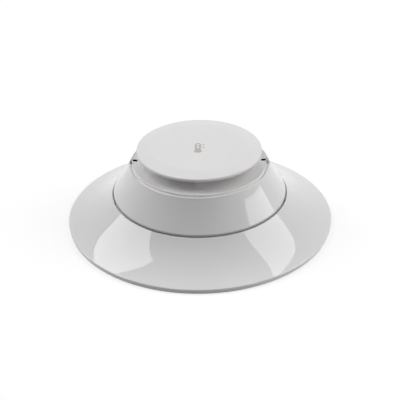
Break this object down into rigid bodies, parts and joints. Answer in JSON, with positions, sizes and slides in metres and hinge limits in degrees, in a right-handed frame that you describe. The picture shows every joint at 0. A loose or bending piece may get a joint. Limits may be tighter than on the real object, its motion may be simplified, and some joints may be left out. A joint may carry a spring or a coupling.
{
  "type": "ceiling heat detector",
  "caption": "Round plug-in heat detector: raised sensing cap over an air gap, steep conical cover on a twist-lock base, wide flared trim skirt.",
  "frame": {"origin": "centre of the mounting face, the side that lies against the ceiling", "axes": "+Z from the mounting face towards the sensing cap; X through the two side light pipes, +X to the right in the rest pose"},
  "size_m": [0.1728, 0.1728, 0.0525],
  "materials": {
    "skirt_plastic": "glossy moulded white",
    "cover_plastic": "satin moulded white",
    "cap_plastic": "fine satin white",
    "base_plastic": "moulded white",
    "contact_metal": "plated spring brass",
    "plated_steel": "zinc plated",
    "board_laminate": "green solder mask",
    "black_package": "moulded epoxy",
    "capacitor_sleeve": "shrink sleeve",
    "led_resin": "diffused red",
    "clear_plastic": "clear moulded acrylic",
    "bead_resin": "dipped epoxy",
    "seal_rubber": "moulded",
    "label_film": "printed film, left blank",
    "mark_ink": "warm grey"
  },
  "bodies": {
    "base": {"clamp_plate_1": "plated_steel", "clamp_plate_2": "plated_steel", "clamp_plate_3": "plated_steel", "clamp_plate_4": "plated_steel", "contact_clip_1": "contact_metal", "contact_clip_2": "contact_metal", "contact_clip_3": "contact_metal", "contact_clip_4": "contact_metal", "mounting_base": "base_plastic", "terminal_screws": "plated_steel", "trim_skirt": "skirt_plastic"},
    "head": {"cap_pictogram": "mark_ink", "capacitor_large": "capacitor_sleeve", "capacitor_small": "capacitor_sleeve", "circuit_board": "board_laminate", "contact_blade_1": "contact_metal", "contact_blade_2": "contact_metal", "contact_blade_3": "contact_metal", "contact_blade_4": "contact_metal", "cover_screws": "plated_steel", "crystal": "plated_steel", "head_cover": "cover_plastic", "inductor": "black_package", "led_left": "led_resin", "led_right": "led_resin", "light_pipe_left": "clear_plastic", "light_pipe_right": "clear_plastic", "lower_housing": "base_plastic", "microcontroller": "black_package", "rating_label": "label_film", "rectifier": "black_package", "sensing_cap": "cap_plastic", "sensor_seal": "seal_rubber", "thermistor_bead": "bead_resin", "thermistor_leads": "plated_steel"}
  },
  "joints": [
    {"name": "head_twist", "type": "hinge", "parent": "base", "child": "head", "pos_m": [0, 0, 0.0186], "axis": [0, 0, 1], "range_deg": [0, 18]}
  ]
}
